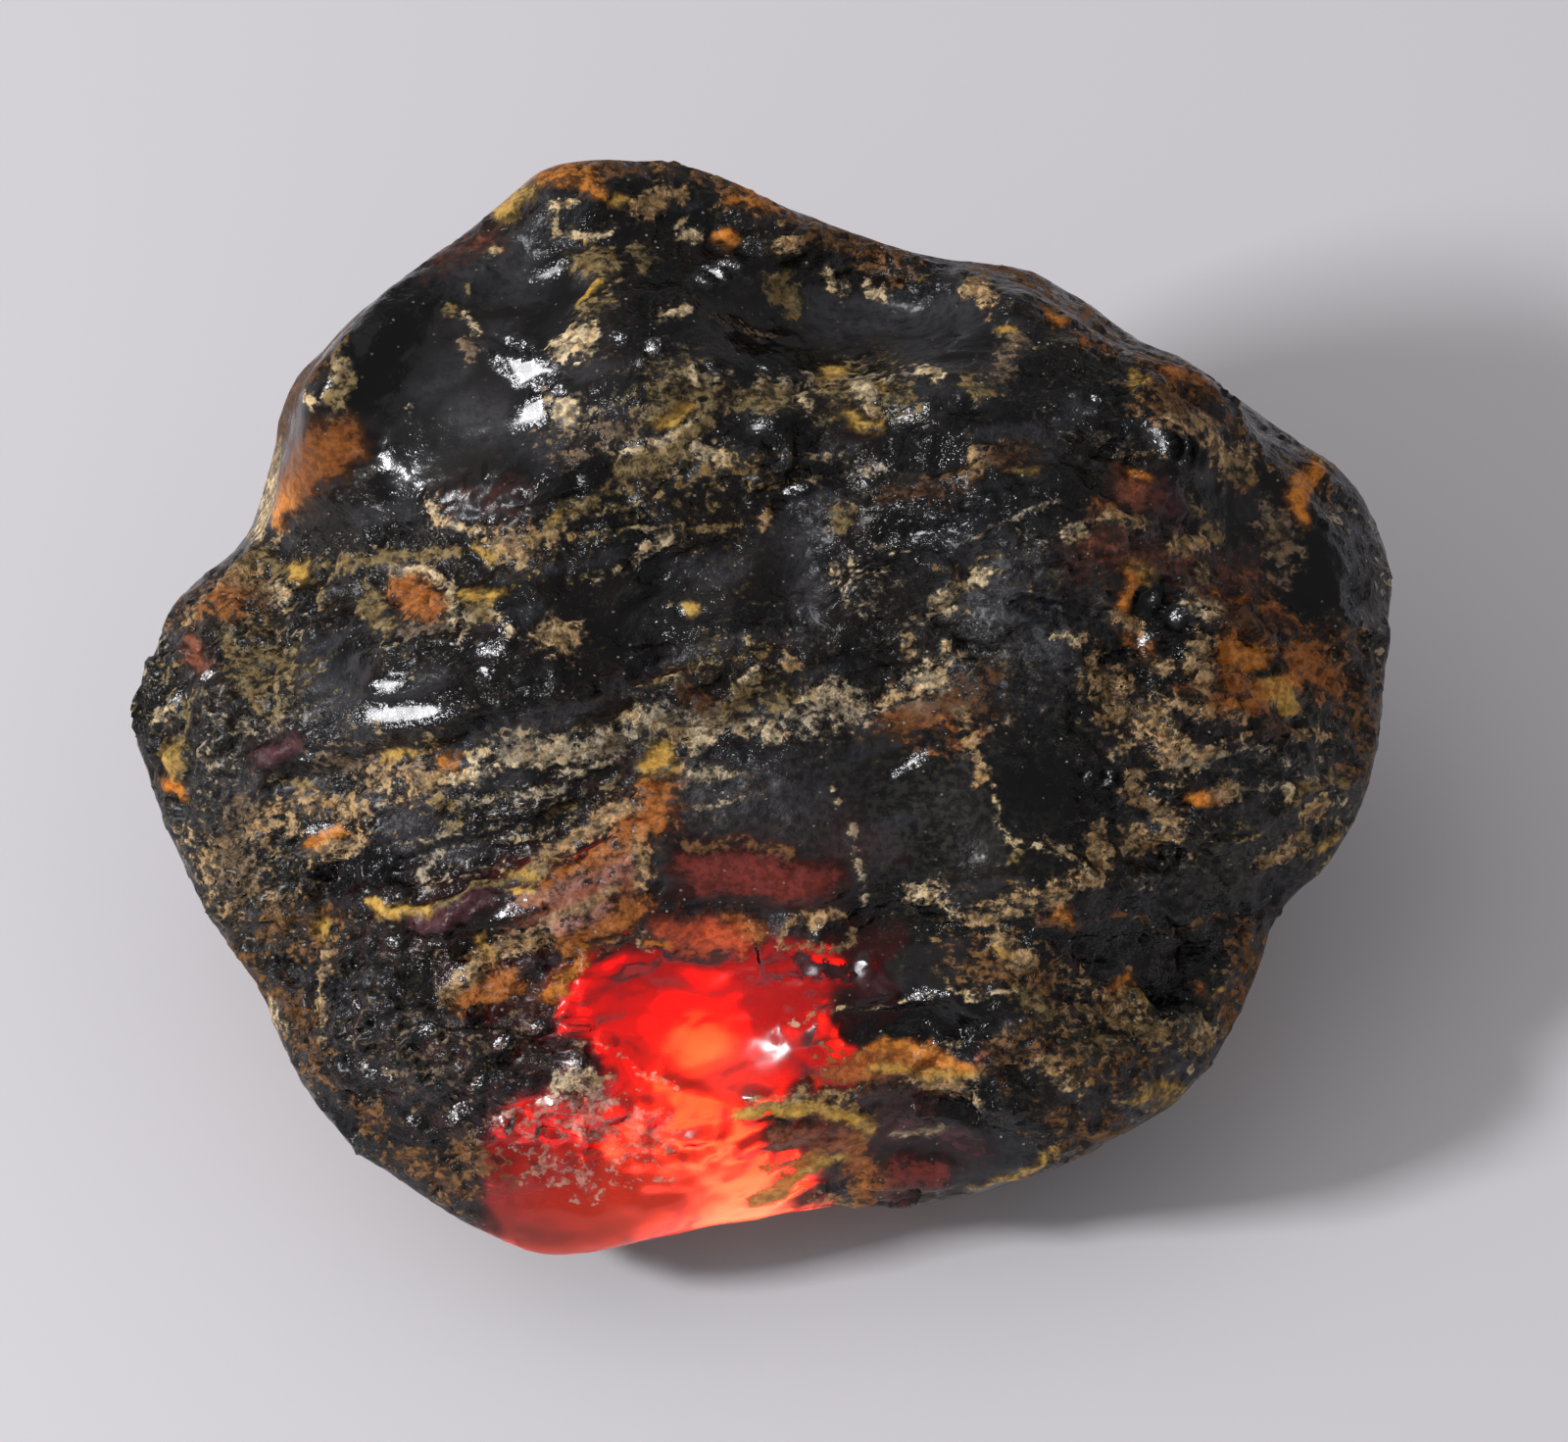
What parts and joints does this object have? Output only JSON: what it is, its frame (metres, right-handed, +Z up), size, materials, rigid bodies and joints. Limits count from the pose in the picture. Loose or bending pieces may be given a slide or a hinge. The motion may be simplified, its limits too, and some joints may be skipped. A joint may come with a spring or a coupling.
{
  "type": "raw amber lump",
  "caption": "Rough lump of dark raw amber with scooped glossy scars, tan crust in its furrows and a clear red patch; rests on a small flat spot.",
  "frame": {"origin": "middle of the lump's box, level with the flat spot it rests on", "axes": "+X along the lump's length, +Z up from the flat spot; the scarred face looks towards -Y and up"},
  "size_m": [0.05, 0.0394, 0.0279],
  "materials": {
    "amber": "glossy dark resin with matt tan crust in its furrows"
  },
  "bodies": {
    "root": {"amber_lump": "amber"}
  },
  "joints": []
}
